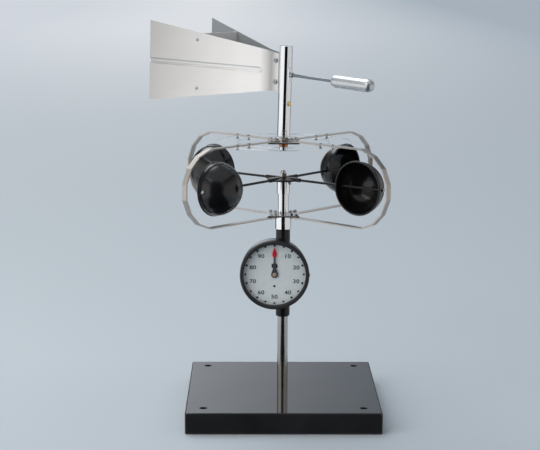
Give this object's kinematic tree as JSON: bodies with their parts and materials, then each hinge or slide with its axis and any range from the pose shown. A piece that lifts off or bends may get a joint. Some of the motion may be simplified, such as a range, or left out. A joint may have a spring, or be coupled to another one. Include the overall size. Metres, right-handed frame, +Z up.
{
  "type": "cup anemometer",
  "caption": "Table-top cup anemometer: cup rotor in a guard cage drives a dial counter through a worm and gears, with a wind vane on top and a pole on a square base.",
  "frame": {"origin": "centre of the base plate's underside, on the rotor's axis", "axes": "+Z up along the rotor's axis, the dial faces -Y, +X to the viewer's right"},
  "size_m": [0.2244, 0.2314, 0.3656],
  "materials": {
    "black_gloss": "high gloss black",
    "black_paint": "gloss black paint",
    "steel": "satin stainless steel",
    "chrome": "polished chrome plate",
    "aluminium": "brushed aluminium",
    "brass": "plain brass",
    "bronze": "bronze bearing",
    "glass": "clear",
    "acrylic": "clear acrylic",
    "dial": "silver grey dial paint",
    "red": "red lacquer"
  },
  "bodies": {
    "stand": {"base_plate": "black_gloss", "pole": "steel", "pole_bolt": "steel", "lower_neck": "black_paint", "upper_neck": "black_paint", "gauge_case": "black_paint", "rear_cover": "black_paint", "bezel": "black_paint", "dial_glass": "glass", "dial_plate": "dial", "movement_front_plate": "brass", "movement_back_plate": "brass", "movement_pillars": "brass", "gauge_screws": "steel", "spindle_bearings": "bronze", "mast_collar": "chrome", "rotor_post": "chrome", "hoop_front_left": "steel", "hoop_front_right": "steel", "hoop_rear_left": "steel", "hoop_rear_right": "steel", "lower_cage_plate": "steel", "upper_cage_plate": "steel", "cage_screws": "steel", "cage_nuts": "steel", "direction_ring": "acrylic", "vane_bush": "bronze", "vane_bush_nut": "steel"},
    "rotor": {"rotor_spindle": "steel", "worm": "steel", "rotor_sleeve": "chrome", "rotor_hub": "steel", "rotor_arms": "steel", "hub_nut": "chrome", "rotor_fasteners": "steel", "cup_front_left": "black_gloss", "cup_front_right": "black_gloss", "cup_rear_left": "black_gloss", "cup_rear_right": "black_gloss"},
    "middle_arbor_set": {"middle_arbor": "steel", "worm_wheel": "brass", "pinion": "steel"},
    "pointer_set": {"pointer_arbor": "steel", "centre_wheel": "brass", "pointer": "red", "pointer_cap": "brass"},
    "vane": {"pivot_pin": "steel", "pivot_collar": "steel", "vane_tube": "chrome", "tube_screws": "steel", "tube_cap": "chrome", "vane_lug": "aluminium", "tail_plate_near": "aluminium", "tail_plate_far": "aluminium", "vane_spacer": "aluminium", "vane_screws": "steel", "vane_nuts": "steel", "counterweight_rod": "steel", "counterweight": "aluminium"}
  },
  "joints": [
    {"name": "rotor_spin", "type": "hinge", "parent": "stand", "child": "rotor", "pos_m": [0, 0, 0.2218], "axis": [0, 0, 1], "continuous": true},
    {"name": "vane_turn", "type": "hinge", "parent": "stand", "child": "vane", "pos_m": [0, 0, 0.256], "axis": [0, 0, 1], "continuous": true},
    {"name": "arbor_spin", "type": "hinge", "parent": "stand", "child": "middle_arbor_set", "pos_m": [0.006, 0, 0.1313], "axis": [0, 1, 0], "continuous": true},
    {"name": "pointer_spin", "type": "hinge", "parent": "stand", "child": "pointer_set", "pos_m": [-0.008, 0, 0.1313], "axis": [0, 1, 0], "continuous": true}
  ],
  "couplings": [
    {"joint": "arbor_spin", "follows": "rotor_spin", "ratio": -0.0625},
    {"joint": "pointer_spin", "follows": "rotor_spin", "ratio": 0.015625}
  ]
}
